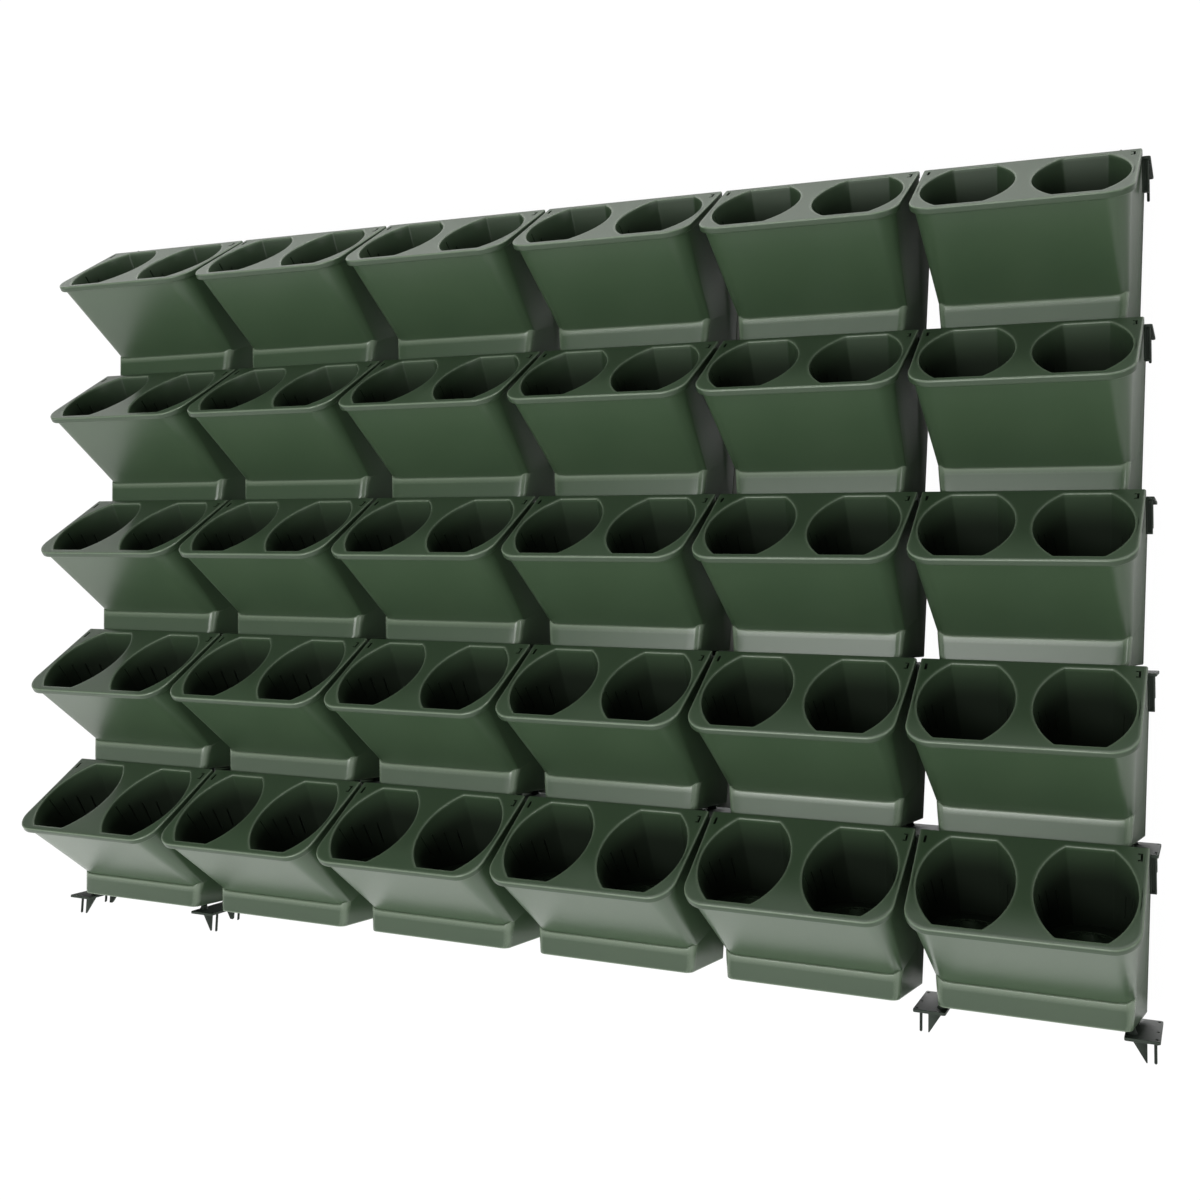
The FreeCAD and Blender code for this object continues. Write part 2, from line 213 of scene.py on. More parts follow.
def front_outline(half_at: Callable[[float], float], front: float, turn: float,
                  deep: float | None = None, steps: int = SIDE_STEPS) -> ndarray:
    """Open outline that runs down the left side, round two front corners and up the right side.

    Each side follows the half-width as a function of depth, each corner is a quarter ellipse, and the
    front is straight.

    Args:
        half_at: Half-width at a depth.
        front: Depth of the front edge.
        turn: Corner radius across.
        deep: Corner radius along the depth, the same as across if not given.
        steps: Points on each side before its corner.

    Returns:
        Points as (across, depth) rows.
    """
    deep = turn if deep is None else deep
    start = front - deep
    sides = np.append(np.linspace(0.0, start - 1.0, steps), start)
    left = np.stack([-np.array([half_at(d) for d in sides]), sides], axis=1)
    sweep = quarter_turn(TURN_STEPS)[1:]
    half = half_at(start)
    corner = np.stack([-(half - turn) - turn * np.cos(sweep), start + deep * np.sin(sweep)], axis=1)
    across = np.linspace(-(half - turn), 0.0, FRONT_STEPS)[1:]
    straight = np.stack([across, np.full_like(across, front)], axis=1)
    half_way = np.concatenate([left, corner, straight])
    return np.concatenate([half_way, half_way[-2::-1] * (-1.0, 1.0)])


def quarter_turn(steps: int) -> ndarray:
    """Angles of a quarter turn, evenly spaced."""
    return np.linspace(0.0, math.pi / 2, steps)


def rounded_edge(radius: float, steps: int) -> tuple[ndarray, ndarray]:
    """Insets and rises of the points up a quarter-circle edge."""
    sweep = quarter_turn(steps)
    return radius * (1 - np.sin(sweep)), radius * (1 - np.cos(sweep))


def outward(outline: ndarray, closed: bool = False) -> ndarray:
    """Unit normals of a flat outline, each square to the chord between its point's neighbours.

    Args:
        outline: Points as rows of two, clockwise seen with depth downwards.
        closed: Whether the last point joins the first.

    Returns:
        One unit vector for each point.
    """
    if closed:
        chord = np.roll(outline, -1, axis=0) - np.roll(outline, 1, axis=0)
    else:
        chord = np.gradient(outline, axis=0)
    normal = np.stack([-chord[:, 1], chord[:, 0]], axis=1)
    return normal / np.linalg.norm(normal, axis=1, keepdims=True)


def rounded_box(low: Pair, high: Pair, radius: float, steps: int = 6) -> ndarray:
    """Closed rectangle outline with quarter-circle corners.

    Args:
        low: Lowest corner.
        high: Highest corner.
        radius: Corner radius.
        steps: Points in each corner.

    Returns:
        Points as rows of two, anticlockwise.
    """
    sweep = quarter_turn(steps)
    quarter = np.stack([np.cos(sweep), np.sin(sweep)], axis=1) * radius
    next_quarter = quarter[:, ::-1] * (-1, 1)
    quarters = (quarter, next_quarter, -quarter, -next_quarter)
    centres = [(high[0] - radius, high[1] - radius), (low[0] + radius, high[1] - radius),
               (low[0] + radius, low[1] + radius), (high[0] - radius, low[1] + radius)]
    return np.concatenate([part + centre for part, centre in zip(quarters, centres)])


def ring(centre: Pair, radius: float, count: int = 20) -> ndarray:
    """Closed circle of points as rows of two, anticlockwise."""
    sweep = np.linspace(0.0, 2 * math.pi, count, endpoint=False)
    return np.stack([np.cos(sweep), np.sin(sweep)], axis=1) * radius + centre


def at_height(outline: ndarray, height: float | ndarray) -> ndarray:
    """Flat outline points placed at a height, as rows of three."""
    return np.column_stack([outline, np.broadcast_to(height, (len(outline),))])


def placed(source: Mesh, name: str, pitches: float, up: float) -> Mesh:
    """Copies a moulding's mesh from its own corner to its place on the wall plane.

    Args:
        source: Mesh to copy.
        name: Name of the copy.
        pitches: Column pitches from the middle of the wall.
        up: Height in millimetres.

    Returns:
        The moved copy.
    """
    copy = source.copy()
    copy.name = name
    copy.transform(Matrix.Translation(Vector((COLUMN_PITCH * pitches, WALL_Y, up)) * MM))
    return copy


@dataclass
class PlanterModule:
    """One double planter, as moulded: skirt, flared body, sloping rim with two wells, deck and back."""

    wall: float = 3.0
    skirt_height: float = 34.0
    skirt_front: float = 93.6
    skirt_turn: float = 12.0
    skirt_rows: tuple[float, ...] = (8.0, 16.0, 24.0)
    foot_edge: float = 1.6
    foot_top: float = 2.6
    ledge: float = 2.2
    ledge_curl: float = 5.0
    curl_start: float = 112.0
    curl_reach: float = 11.0
    base_half: float = 124.4
    rear_flare: float = 12.0
    side_spread: float = 0.0951
    crest_depth: float = 97.0
    crest_height: float = 230.0
    crest_half: float = 147.0
    deck_depth: float = 94.0
    deck_height: float = 217.0
    slope: float = math.radians(35.98)
    rim_reach: float = 166.8
    rim_front_half: float = 143.0
    rim_turn: float = 36.0
    rim_band: float = 3.0
    lip: float = 9.5
    lip_overhang: float = 6.0
    lip_edge: float = 2.4
    under_edge: float = 1.4
    under_turn: float = 31.0
    well_across: float = 74.0
    well_half: float = 62.5
    well_bow: float = 100.0
    well_near: float = 9.0
    well_far: float = 156.0
    mouth_ease: float = 1.8
    mouth_edge: float = 2.2
    mouth_band: float = 2.5
    floor_height: float = 116.0
    floor_middle: float = 118.8
    floor_half: float = 52.0
    floor_deep: float = 66.0
    under_floor: float = 113.0
    slit_low: float = 136.0
    slit_high: float = 168.0
    slit_deep: float = 2.4
    drain_reach: float = 22.5
    drain_radius: float = 2.3
    hollow_front: float = 186.0
    hollow_rise: float = 2.0
    hollow_turns: tuple[float, ...] = (9.0, 11.0, 34.0)
    slot_near: float = 10.0
    slot_far: float = 23.5
    slot_deep: float = 6.0
    bracket_inner: float = 133.0
    bracket_outer: float = 139.2
    bracket_arm: float = 2.5
    bracket_stem: float = 2.8
    straight_inner: float = 135.4
    straight_outer: float = 139.0
    straight_turn: float = 1.2
    hang_across: float = 100.0
    hang_half: float = 6.0
    hang_low: float = 172.5
    hang_high: float = 183.5
    hang_turn: float = 4.0
    hang_deep: float = 8.0

    def half_at(self, height: float) -> float:
        """Half-width of the body between its leaning sides at a height."""
        return self.base_half + self.side_spread * height

    def on_rim(self, across: ndarray, along: ndarray, lift: ndarray | float = 0.0) -> ndarray:
        """Places in the module from places on the rim's slope.

        The slope starts at the crest and falls to the front, and lift is square to it.

        Args:
            across: Distance from the middle of the module.
            along: Distance down the slope from the crest.
            lift: Height over the slope.

        Returns:
            Places as rows of three.
        """
        lift = np.broadcast_to(lift, np.shape(along))
        depth = -self.crest_depth - along * math.cos(self.slope) - lift * math.sin(self.slope)
        height = self.crest_height - along * math.sin(self.slope) + lift * math.cos(self.slope)
        return np.stack([across, depth, height], axis=-1)

    def under_lip(self) -> ndarray:
        """Outline, on the slope, where the body meets the underside of the lip."""
        drop = self.crest_height - self.lip * math.cos(self.slope)
        return front_outline(lambda s: self.half_at(drop - s * math.sin(self.slope)),
                             self.rim_reach - self.lip_overhang, self.under_turn)

    def lip_rows(self) -> ndarray:
        """Rows of the lip: from the body out along its underside, up its rounded edge, onto the rim.

        The rear ends lean with the back of the crest, by a distance along the slope in step with the lift.

        Returns:
            Places as rows by columns by three.
        """
        outline = front_outline(lambda s: self.crest_half + (self.rim_front_half - self.crest_half)
                                * s / self.rim_reach, self.rim_reach, self.rim_turn)
        normal = outward(outline)
        inner = self.under_lip()
        small_in, small_up = rounded_edge(self.under_edge, 4)
        large_down, large_in = rounded_edge(self.lip_edge, 6)
        insets = np.concatenate([small_in, large_in, [self.lip_edge + self.rim_band]])
        lifts = np.concatenate([[-self.lip], small_up - self.lip, -large_down, [0.0]])
        flat = np.stack([inner] + [outline - normal * inset for inset in insets])
        ends = np.zeros(len(outline))
        ends[:SIDE_STEPS + 1] = np.linspace(1.0, 0.0, SIDE_STEPS + 1)
        ends[-SIDE_STEPS - 1:] = np.linspace(0.0, 1.0, SIDE_STEPS + 1)
        lean = -lifts[:, None] * self.crest_lean() * ends[None, :]
        return self.on_rim(flat[:, :, 0], flat[:, :, 1] + lean, lifts[:, None] * np.ones(len(outline)))

    def crest_lean(self) -> float:
        """Distance down the slope, for each millimetre under it, along the leaning back of the crest."""
        back = np.array([self.crest_depth - self.deck_depth, self.deck_height - self.crest_height])
        down = -back @ (math.cos(self.slope), math.sin(self.slope))
        return down / -(back @ (-math.sin(self.slope), math.cos(self.slope)))

    def plan_outline(self, height: float, depth: float, deep: float) -> ndarray:
        """Outline of the body in plan at a height: the front at a depth, the sides flared to the rear.

        Args:
            height: Height over the base.
            depth: Depth of the front.
            deep: Corner radius along the depth.

        Returns:
            Points as (across, depth) rows.
        """
        half, start = self.half_at(height), depth - deep
        return front_outline(lambda d: half + self.rear_flare * (1 - d / start), depth, self.skirt_turn,
                             deep, BASE_STEPS)

    def foot_rows(self) -> ndarray:
        """Rounded bottom edge of the skirt, from the base face up the skirt by a little."""
        outline = self.plan_outline(0.0, self.skirt_front, self.skirt_turn)
        normal = outward(outline)
        normal[0] = (-1.0, 0.0)
        normal[-1] = (1.0, 0.0)
        inset, rise = rounded_edge(self.foot_edge, 5)
        insets = np.append(inset, 0.0)
        heights = np.append(rise, self.foot_top)
        spread = heights * self.side_spread
        leaning = np.abs(normal[:, :1]) * normal
        return np.stack([at_height((outline - normal * i + leaning * s) * FORWARD, h)
                         for i, s, h in zip(insets, spread, heights)])

    def body_rows(self, top: ndarray) -> ndarray:
        """Skirt, ledge and flared body round the front, each row one step up.

        The ledge is a quarter ellipse turned in from the skirt. It curls up and fades in the corners.
        Above it the body is ruled from the ledge to the underside of the lip.

        Args:
            top: Last row, under the lip.

        Returns:
            Places as rows by columns by three, corners and front only.
        """
        cut = slice(BASE_STEPS - 1, 1 - BASE_STEPS)
        outer = self.plan_outline(self.skirt_height, self.skirt_front, self.skirt_turn)[cut]
        inner = self.plan_outline(self.skirt_height, self.skirt_front - self.ledge,
                                  self.skirt_turn - self.ledge)[cut]
        round_corner = np.clip((np.abs(outer[:, 0]) - self.curl_start) / self.curl_reach, 0.0, 1.0)
        curl = self.skirt_height + self.ledge_curl * round_corner ** 1.5
        rows = [self.foot_rows()[-1][cut]]
        narrow = self.half_at(self.skirt_height) - self.half_at(self.foot_top)
        normal = outward(outer)
        for height in self.skirt_rows:
            lean = narrow * (self.skirt_height - height) / (self.skirt_height - self.foot_top)
            rows.append(at_height((outer - normal * np.abs(normal[:, :1]) * lean) * FORWARD, height))
        for sweep in quarter_turn(LEDGE_STEPS):
            turned_in = outer + (inner - outer) * (1 - math.cos(sweep))
            rows.append(at_height(turned_in * FORWARD, curl - self.ledge * (1 - math.sin(sweep))))
        start = rows[-1]
        rise = top[SIDE_STEPS - 1:1 - SIDE_STEPS] - start
        shares = np.concatenate([[0.012, 0.03], np.linspace(0.08, 0.97, 14), [1.0]])
        return np.stack(rows + [start + rise * share for share in shares])

    @staticmethod
    def side(shell: Shell, bottom: ndarray, top: ndarray, front: ndarray) -> ndarray:
        """Adds a side wall: a surface blended between its four edges, so that it twists evenly.

        Each point is the mean of the bottom and top edges, plus the mean of the rear and front edges, less
        the mean of the four corners, each weighted by how near the point is to them.

        Args:
            shell: Where the faces go.
            bottom: Edge on the foot, from the rear to the corner.
            top: Edge along deck, crest and lip, as many points.
            front: Edge up the corner.

        Returns:
            The straight rear edge, from the bottom up.
        """
        up = ((front[:, 2] - front[0, 2]) / (front[-1, 2] - front[0, 2]))[:, None, None]
        along = np.linspace(0.0, 1.0, len(bottom))[None, :, None]
        rear = bottom[0] + (top[0] - bottom[0]) * up[:, 0]
        low = bottom - (1 - along) * bottom[0] - along * bottom[-1]
        high = top - (1 - along) * top[0] - along * top[-1]
        wall = (1 - up) * low + up * high + (1 - along) * rear[:, None] + along * front[:, None]
        shell.grid(wall)
        return rear

    def well_outline(self, shares: ndarray) -> ndarray:
        """Opening of a well on the slope: bowed sides, flat front and back, corners eased.

        Args:
            shares: Distances round the outline as shares of its length, from the middle of the back.

        Returns:
            Points as (across, along) rows.
        """
        half_long = (self.well_far - self.well_near) / 2
        middle = (self.well_far + self.well_near) / 2
        along = np.linspace(-half_long, half_long, 240)
        bow = self.well_half - self.well_bow + np.sqrt(self.well_bow ** 2 - along ** 2)
        flat = np.linspace(0.0, bow[0], 60)
        back = np.stack([flat, np.full_like(flat, -half_long)], axis=1)
        right = np.concatenate([back, np.stack([bow, along], axis=1), back[::-1] * (1, -1)])
        loop = np.concatenate([right, right[::-1] * (-1, 1)])
        return self.along_loop(self.eased(loop, self.mouth_ease), shares) + (0.0, middle)

    @staticmethod
    def eased(loop: ndarray, reach: float) -> ndarray:
        """Rounds a loop's corners: each point becomes the mean of the loop within a reach of it.

        Args:
            loop: Closed outline as rows of two.
            reach: Distance along the loop over which the mean is taken.

        Returns:
            The eased loop, evenly spaced.
        """
        even = PlanterModule.along_loop(loop, np.linspace(0.0, 1.0, LOOP_STEPS, endpoint=False))
        length = np.linalg.norm(np.roll(even, -1, axis=0) - even, axis=1).sum()
        span = max(1, int(reach / length * LOOP_STEPS))
        return np.mean([np.roll(even, k, axis=0) for k in range(-span, span + 1)], axis=0)

    @staticmethod
    def along_loop(loop: ndarray, shares: ndarray) -> ndarray:
        """Points of a closed loop at shares of its length."""
        closed = np.concatenate([loop, loop[:1]])
        steps = np.linalg.norm(np.diff(closed, axis=0), axis=1)
        walked = np.concatenate([[0.0], np.cumsum(steps)])
        walked /= walked[-1]
        return np.stack([np.interp(shares, walked, closed[:, k]) for k in range(2)], axis=1)

    @staticmethod
    def mouth_shares() -> tuple[ndarray, ndarray]:
        """Points round a mouth, as shares of its length, closer together at slits and corners.

        Returns:
            The shares, and whether each lies on a slit.
        """
        slits = np.array([0.125, 0.175, 0.225, 0.275])
        slits = np.concatenate([slits, 1.0 - slits])[:, None]
        edges = slits + np.array([-0.0036, -0.0026, 0.0026, 0.0036])
        bends = np.array([0.067, 0.433, 0.567, 0.933])[:, None] + np.linspace(-0.009, 0.009, 9)
        even = np.linspace(0.0, 1.0, 80, endpoint=False)
        shares = np.unique(np.concatenate([even, edges.reshape(-1), bends.reshape(-1)]))
        return shares, np.min(np.abs(shares - slits), axis=0) < 0.003

    def well(self, shell: Shell, middle: float) -> tuple[ndarray, list[ndarray]]:
        """Adds a well: a rounded mouth, walls ruled down to a rounder floor, and the floor with its drain.

        Slits in the walls are narrow bands pushed outwards where a band of the outline crosses a band of
        height.

        Args:
            shell: Where the faces go.
            middle: Distance of the well from the middle of the module.

        Returns:
            The loop of the mouth on the rim, and the loops of its drain holes under the floor.
        """
        shares, on_slit = self.mouth_shares()
        mouth = self.well_outline(shares)
        normal = -outward(mouth, closed=True)
        inset, rise = rounded_edge(self.mouth_edge, 6)
        grows = np.append(self.mouth_edge + self.mouth_band, inset)
        lifts = np.append(0.0, -rise)
        rims = [self.on_rim(mouth[:, 0] + normal[:, 0] * g + middle, mouth[:, 1] + normal[:, 1] * g, lift)
                for g, lift in zip(grows, lifts)]
        half_long = (self.well_far - self.well_near) / 2
        drawn_in = (mouth[:, 1] - self.well_near - half_long) * self.floor_deep / half_long
        floor = np.stack([middle + mouth[:, 0] * self.floor_half / self.well_half,
                          -self.floor_middle - drawn_in, np.full(len(mouth), self.floor_height)], axis=1)
        top = rims[-1]
        depths = np.linspace(0.0, 1.0, 30)[1:]
        walls = np.stack(rims + [top + (floor - top) * depth for depth in depths])
        slit = (walls[:, :, 2] > self.slit_low) & (walls[:, :, 2] < self.slit_high) & on_slit
        out = floor[:, :2] - (middle, -self.floor_middle)
        out /= np.linalg.norm(out, axis=1, keepdims=True)
        walls[:, :, :2] += (self.slit_deep * slit)[:, :, None] * out
        # Painted shade darkens the walls towards the floor and in the slits; the mouth gets a painted
        # highlight.
        dark = np.clip((depths - 0.02) / 0.42, 0.0, 1.0)
        light_paint = np.concatenate([MOUTH_PAINTED_LIGHT, -0.3 - 0.7 * dark * dark * (3 - 2 * dark)])
        shell.grid(walls, closed=True, painted_light=np.where(slit, -1.0, light_paint[:, None]))
        return walls[0], self.drain_floor(shell, walls[-1], middle)

    def drain_floor(self, shell: Shell, edge: ndarray, middle: float) -> list[ndarray]:
        """Adds a well's floor: a flat with a raised ring, a cone with a drain hole, and small holes.

        Args:
            shell: Where the faces go.
            edge: Loop where the walls end.
            middle: Distance of the well from the middle of the module.

        Returns:
            Loops of the holes under the floor.
        """
        centre = (middle, -self.floor_middle)
        profile = [(33.0, 0.0), (32.0, 1.2), (30.0, 1.2), (29.0, 0.0)]
        inner = [(16.0, 0.0), (14.5, 0.6), (9.5, 6.0), (8.6, 6.6), (6.6, 6.6), (5.8, 6.0), (5.6, -3.0)]
        outer_ring = np.stack([at_height(ring(centre, r, 40), self.floor_height + h) for r, h in profile])
        cone = np.stack([at_height(ring(centre, r, 28), self.floor_height + h) for r, h in inner])
        turns = np.radians([45, 135, 225, 315])
        spots = np.stack([np.cos(turns), np.sin(turns)], axis=1) * self.drain_reach + centre
        smalls = [ring(spot, self.drain_radius, 12) for spot in spots]
        tops, drains = ([at_height(hole, level) for hole in smalls]
                        for level in (self.floor_height, self.under_floor))
        # The floor, its raised ring and its cone get painted shade.
        shell.fill(edge, outer_ring[0], painted_light=-1.0)
        shell.grid(outer_ring, closed=True, painted_light=-0.8)
        shell.fill(outer_ring[-1], cone[0], *tops, painted_light=-1.0)
        shell.grid(cone, closed=True, painted_light=-0.8)
        for pair in zip(tops, drains):
            shell.grid(np.stack(pair), closed=True)
        return [cone[-1], *drains]

    def rim_slots(self, shell: Shell) -> list[ndarray]:
        """Adds a straight slot and a bracket near the rear corners of the rim and returns their loops."""
        near, far, inner, outer = self.slot_near, self.slot_far, self.bracket_inner, self.bracket_outer
        stem = outer - self.bracket_stem
        ends = near + self.bracket_arm, far - self.bracket_arm
        bracket = np.array([(inner, near), (outer, near), (outer, far), (inner, far), (inner, ends[1]),
                            (stem, ends[1]), (stem, ends[0]), (inner, ends[0])])
        straight = rounded_box((-self.straight_outer, near), (-self.straight_inner, far),
                               self.straight_turn, 4)
        lifts = (0.0, -0.8, -self.slot_deep)
        # Both slots get painted shade inside.
        return [shell.blind_slot(np.stack([self.on_rim(*outline.T, lift) for lift in lifts]), -1.0)
                for outline in (straight, bracket)]

    def back_slot(self, shell: Shell, across: float) -> ndarray:
        """Adds a hanging slot in the back and returns its loop on the back face."""
        outline = rounded_box((across - self.hang_half, self.hang_low),
                              (across + self.hang_half, self.hang_high), self.hang_turn)
        rows = [np.insert(outline, 1, -deep, axis=1) for deep in (0.0, self.hang_deep)]
        return shell.blind_slot(np.stack(rows))

    def hollow(self, shell: Shell, drains: list[ndarray]) -> ndarray:
        """Adds the open hollow under the wells and returns its loop on the base."""
        narrow = self.skirt_front - self.wall
        heights = (0.0, self.skirt_height + self.hollow_rise, self.under_floor)
        levels = zip(heights, (narrow, narrow, self.hollow_front), self.hollow_turns)
        rows = np.stack([at_height(rounded_box((self.wall - self.half_at(height), -front),
                                               (self.half_at(height) - self.wall, -self.wall), turn), height)
                         for height, front, turn in levels])
        shell.grid(rows, closed=True)
        shell.fill(rows[-1], *drains)
        return rows[0]

    def mesh(self) -> Mesh:
        """Builds the whole moulding as one closed shell.

        Returns:
            The moulding's mesh, at its own corner.
        """
        shell = Shell()
        lip = self.lip_rows()
        shell.grid(lip, painted_light=LIP_PAINTED_LIGHT)
        foot = self.foot_rows()
        shell.grid(foot, painted_light=FOOT_PAINTED_LIGHT)
        body = self.body_rows(lip[0])
        # Painted highlight along the ledge, and fading in and out round the skirt's front corners.
        bend = np.zeros(body.shape[1])
        bend[1:TURN_STEPS + 1] = np.sin(np.linspace(0.0, math.pi, TURN_STEPS))
        light_paint = np.zeros(body.shape[:2])
        first = 1 + len(self.skirt_rows)
        light_paint[:first] = 0.7 * np.maximum(bend, bend[::-1])
        light_paint[first:first + LEDGE_STEPS] = 1.0
        shell.grid(body, painted_light=light_paint)
        mouths, drains = zip(*[self.well(shell, side * self.well_across) for side in (-1, 1)])
        shell.fill(lip[-1], *mouths, *self.rim_slots(shell))
        deck_half = self.half_at(self.deck_height)
        deck = np.array([(-deck_half, -self.deck_depth), (deck_half, -self.deck_depth), (deck_half, 0.0),
                         (-deck_half, 0.0)])
        corners = at_height(deck, self.deck_height)
        shell.fill(corners)
        shell.fill(np.concatenate([lip[::-1, 0], corners[:2], lip[:, -1]]))
        left, right = (self.side(shell, foot[-1, ::step][:BASE_STEPS],
                                 np.concatenate([corners[deck_ends], lip[0, ::step][:SIDE_STEPS]]),
                                 body[:, ::step][:, 0])
                       for step, deck_ends in ((1, [3, 0]), (-1, [2, 1])))
        back_slots = [self.back_slot(shell, across) for across in (-self.hang_across, self.hang_across)]
        shell.fill(np.concatenate([foot[:-1, 0], left, right[::-1], foot[-2::-1, -1]]), *back_slots)
        shell.fill(foot[0], self.hollow(shell, [loop for loops in drains for loop in loops]))
        return shell.mesh("planter_moulding")


@dataclass
class Clip:
    """Plate between two rows, with the bosses that carry the row above and the legs that drop below."""

    thick: float = 4.0
    front: float = 92.0
    back: float = 2.0
    reach: float = 37.0
    outer: float = 7.0
    corner: float = 3.0
    plate_edge: float = 0.7
    hole_radius: float = 2.2
    hole_places: tuple[Pair, ...] = ((3.2, 8.0), (3.2, 72.0), (3.2, 82.0))
    boss_inset: float = 28.5
    boss_front: float = 70.0
    boss_back: float = 18.0
    boss_height: float = 7.0
    peg_shift: float = 3.5
    peg_length: float = 12.0
    leg_front: float = 90.0
    leg_half: float = 4.4
    leg_thick: float = 5.0
    leg_length: float = 45.0
    leg_rib: float = 2.4
    toe: float = 2.6
    post_depth: float = 8.0
    post_length: float = 33.0
    post_radius: float = 2.0
    root: float = 0.5

    def plate(self, low: float, high: float, holes: tuple[ndarray, ...] = ()) -> Shell:
        """Starts a clip with its plate, between two ends across."""
        shell = Shell()
        outline = rounded_box((low, -self.front), (high, -self.back), self.corner)
        shell.slab(outline, 0.0, self.thick, self.plate_edge, holes)
        return shell

    def bosses(self, shell: Shell, side: int) -> None:
        """Adds the two bosses on one side, each a cone with a collar, and the front one's peg."""
        base, top = self.thick, self.thick + self.boss_height
        tip = top + self.peg_length
        boss = [(7.0, base - self.root), (7.0, base + 0.4), (5.2, base + 3.0), (4.8, top - 0.6), (4.2, top)]
        for depth in (self.boss_front, self.boss_back):
            shell.turned(boss, (side * self.boss_inset, -depth))
        peg = [(2.0, top - self.root), (2.0, tip - 1.5), (1.2, tip)]
        shell.turned(peg, (side * (self.boss_inset + self.peg_shift), -self.boss_front), 12)

    def post(self, shell: Shell, depth: float, length: float, tip: Pair) -> None:
        """Adds a thin post under the plate, its tip given as radius and height of the bevel."""
        profile = [(tip[0], -length), (self.post_radius, tip[1] - length), (self.post_radius, self.root)]
        shell.turned(profile, (0.0, -depth), 14)

    def legs(self, shell: Shell) -> None:
        """Adds the wide front leg, two ribs with a web and a closed toe, and the thin rear post."""
        half, foot = self.leg_half, -self.leg_length
        low, high = -self.leg_front, self.leg_thick - self.leg_front
        for left in (-half, half - self.leg_rib):
            rib = rounded_box((left, low), (left + self.leg_rib, high), 0.7, 3)
            shell.slab(rib, foot + 1.0, self.root)
        web = rounded_box((1.0 - half, low + 2.4), (half - 1.0, high - 0.2), 0.5, 3)
        shell.slab(web, foot + 1.0, self.root, 0.4)
        shell.slab(rounded_box((-half, low), (half, high), 0.9, 4), foot, foot + self.toe, 0.8)
        self.post(shell, self.post_depth, self.post_length, (1.4, 1.0))

    def end_plate(self, side: Side) -> Shell:
        """Starts an end piece: a plate that stands out past the module, its small holes and its bosses."""
        sign = side.value
        low, high = sorted((-sign * self.reach, sign * self.outer))
        holes = tuple(ring((sign * x, -y), self.hole_radius, 12) for x, y in self.hole_places)
        shell = self.plate(low, high, holes)
        self.bosses(shell, -sign)
        return shell

    def end_mesh(self, side: Side) -> Mesh:
        """Clip at an end of a row."""
        shell = self.end_plate(side)
        self.legs(shell)
        return shell.mesh(f"end_clip_{side.name.lower()}")

    def seam_mesh(self) -> Mesh:
        """Clip that bridges two columns."""
        shell = self.plate(-self.reach, self.reach)
        for side in Side:
            self.bosses(shell, side.value)
        self.legs(shell)
        return shell.mesh("seam_clip")


@dataclass
class Foot(Clip):
    """Plate under the end of a bottom module, on two fins inside and two posts outside."""

    hole_places: tuple[Pair, ...] = ((2.8, 10.0), (2.8, 52.0), (2.8, 84.0))
    length: float = 30.0
    fin_outer: float = 10.0
    fin_width: float = 20.0
    fin_thick: float = 3.0

    def foot_mesh(self, side: Side) -> Mesh:
        """Foot under one end of a module, with the underside of its plate at height 0."""
        shell = self.end_plate(side)
        near, far, half = self.fin_outer, self.fin_outer + self.fin_width, self.fin_thick / 2
        fin = np.array([(far, 0.4), (near, 0.4), (near, -self.length), (near + 1.4, -self.length),
                        (far, -1.6)])
        outline = (fin * (-side.value, 1.0))[::-side.value]
        for depth in (self.boss_front, self.boss_back):
            part = Shell()
            part.slab(outline, depth - half, depth + half, 0.3)
            places = np.concatenate(part.points)
            shell.add(places[:, [0, 2, 1]] * (1, -1, 1), part.faces, np.concatenate(part.painted_lights))
            self.post(shell, depth, self.length, (1.3, 1.2))
        return shell.mesh(f"foot_{side.name.lower()}")


def linear(code: str) -> tuple[float, ...]:
    """Linear colour from an sRGB hex value.

    Args:
        code: Six hex digits after a hash.

    Returns:
        Red, green, blue and full alpha.
    """
    parts = [int(code[i:i + 2], 16) / 255 for i in (1, 3, 5)]
    made = [p / 12.92 if p <= 0.04045 else ((p + 0.055) / 1.055) ** 2.4 for p in parts]
    return (made[0], made[1], made[2], 1.0)


def add_node(tree: NodeTree, kind: str, settings: dict[str, object] | None = None, **inputs: object) -> Node:
    """Adds a node, sets it up and links it.

    Args:
        tree: Tree that gets the node.
        kind: Node type.
        settings: Attributes of the node itself.
        **inputs: Values, sockets or nodes, by socket name with underscores for spaces, or by number.

    Returns:
        The new node.
    """
    node = tree.nodes.new(kind)
    for name, value in (settings or {}).items():
        setattr(node, name, value)
    for name, value in inputs.items():
        key = int(name[1:]) if name[0] == "_" else name.replace("_", " ")
        if isinstance(value, Node):
            value = value.outputs[0]
        if isinstance(value, NodeSocket):
            tree.links.new(value, node.inputs[key])
        else:
            node.inputs[key].default_value = value
    return node


def blank_tree(owner: Material | World) -> NodeTree:
    """Turns on the nodes of a material or world and returns its tree, emptied."""
    owner.use_nodes = True
    owner.node_tree.nodes.clear()
    return owner.node_tree


def ranged(tree: NodeTree, value: object, given: Pair, wanted: tuple[object, object]) -> Node:
    """Carries a value from one range to another, and holds it at the ends."""
    return add_node(tree, "ShaderNodeMapRange", Value=value, From_Min=given[0], From_Max=given[1],
                    To_Min=wanted[0], To_Max=wanted[1])


def maths(tree: NodeTree, operation: str, *values: object) -> Node:
    """Does one sum with values, sockets or nodes."""
    inputs = {f"_{number}": value for number, value in enumerate(values)}
    return add_node(tree, "ShaderNodeMath", {"operation": operation}, **inputs)


def mixed(tree: NodeTree, share: object, first: object, second: object) -> NodeSocket:
    """Colour that goes from the first to the second by a share."""
    return add_node(tree, "ShaderNodeMix", {"data_type": "RGBA"}, Factor=share, _6=first,
                    _7=second).outputs[2]


WHITE = linear("#ffffff")


